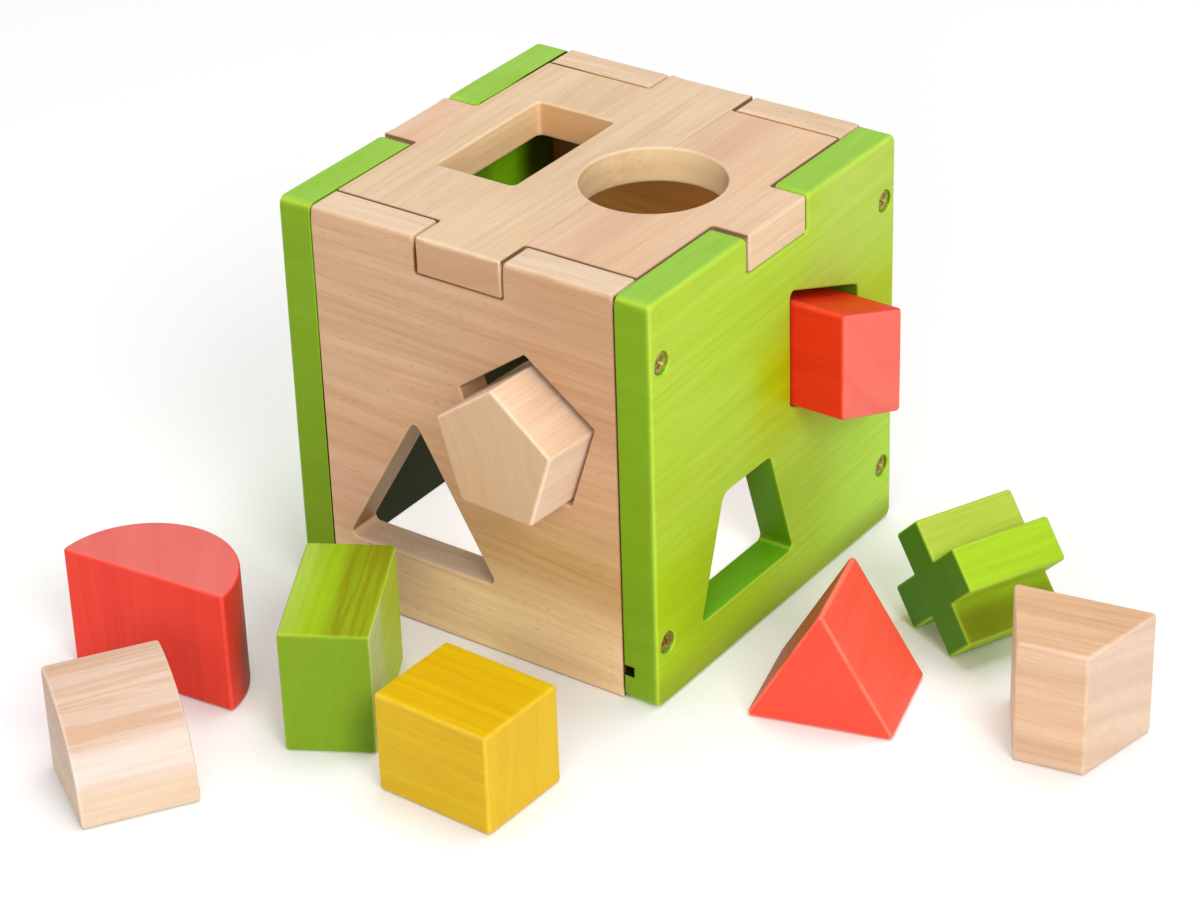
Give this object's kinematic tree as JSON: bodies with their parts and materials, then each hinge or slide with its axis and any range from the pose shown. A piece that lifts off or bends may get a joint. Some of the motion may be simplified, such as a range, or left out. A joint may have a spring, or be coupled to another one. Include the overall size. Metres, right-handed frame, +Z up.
{
  "type": "shape sorter",
  "caption": "Wooden shape sorter cube with screwed walls, lift-off lid, bottom board and a set of straight prism blocks that fit its shaped holes.",
  "frame": {"origin": "under the middle of the laid-out set, on the surface that the box and the loose blocks stand on", "axes": "+Z up, +X to the right along the box's front wall, -Y out of the front wall towards the viewer"},
  "size_m": [0.3235, 0.3013, 0.15],
  "materials": {
    "natural_wood": "clear satin lacquer on rubberwood",
    "lid_wood": "clear satin lacquer on edge-glued rubberwood",
    "natural_block_wood": "clear satin lacquer",
    "pale_block_wood": "clear satin lacquer",
    "green_wood": "green stain, grain showing, satin",
    "red_wood": "red stain, satin, lighter worn edges",
    "yellow_wood": "yellow stain, grain showing, satin",
    "white_board": "thin white-faced board, matt",
    "screw_steel": null
  },
  "bodies": {
    "box": {"front_wall": "natural_wood", "back_wall": "natural_wood", "left_wall": "green_wood", "right_wall": "green_wood", "bottom_board": "white_board", "left_screw_front_low": "screw_steel", "left_screw_front_high": "screw_steel", "left_screw_back_low": "screw_steel", "left_screw_back_high": "screw_steel", "right_screw_front_low": "screw_steel", "right_screw_front_high": "screw_steel", "right_screw_back_low": "screw_steel", "right_screw_back_high": "screw_steel"},
    "lid": {"lid": "lid_wood"},
    "pentagon_block": {"pentagon_block": "natural_block_wood"},
    "rhombus_block": {"rhombus_block": "red_wood"},
    "cylinder_block": {"cylinder_block": "yellow_wood"},
    "rectangle_block": {"rectangle_block": "green_wood"},
    "trapezoid_block": {"trapezoid_block": "natural_block_wood"},
    "half_round_block": {"half_round_block": "red_wood"},
    "quarter_round_block": {"quarter_round_block": "pale_block_wood"},
    "square_block": {"square_block": "yellow_wood"},
    "triangle_block": {"triangle_block": "red_wood"},
    "cross_block": {"cross_block": "green_wood"}
  },
  "joints": [
    {"name": "lid_lift", "type": "slide", "parent": "box", "child": "lid", "axis": [0, 0, 1], "range_m": [0, 0.1]},
    {"name": "pentagon_slide", "type": "slide", "parent": "box", "child": "pentagon_block", "axis": [0.061, 0.9981, 0], "range_m": [-0.025, 0.018]},
    {"name": "rhombus_slide", "type": "slide", "parent": "box", "child": "rhombus_block", "axis": [-1, 0, 0], "range_m": [-0.025, 0.019]},
    {"name": "cylinder_slide", "type": "slide", "parent": "box", "child": "cylinder_block", "axis": [-1, 0, 0], "range_m": [0, 0.06]},
    {"name": "rectangle_lift", "type": "slide", "parent": "box", "child": "rectangle_block", "axis": [0, 0, 1], "range_m": [0, 0.1]},
    {"name": "trapezoid_lift", "type": "slide", "parent": "box", "child": "trapezoid_block", "axis": [0, 0, 1], "range_m": [0, 0.1]},
    {"name": "half_round_lift", "type": "slide", "parent": "box", "child": "half_round_block", "axis": [0, 0, 1], "range_m": [0, 0.1]},
    {"name": "quarter_round_lift", "type": "slide", "parent": "box", "child": "quarter_round_block", "axis": [0, 0, 1], "range_m": [0, 0.1]},
    {"name": "square_lift", "type": "slide", "parent": "box", "child": "square_block", "axis": [0, 0, 1], "range_m": [0, 0.1]},
    {"name": "triangle_lift", "type": "slide", "parent": "box", "child": "triangle_block", "axis": [0, 0, 1], "range_m": [0, 0.1]},
    {"name": "cross_lift", "type": "slide", "parent": "box", "child": "cross_block", "axis": [0, 0, 1], "range_m": [0, 0.1]}
  ]
}
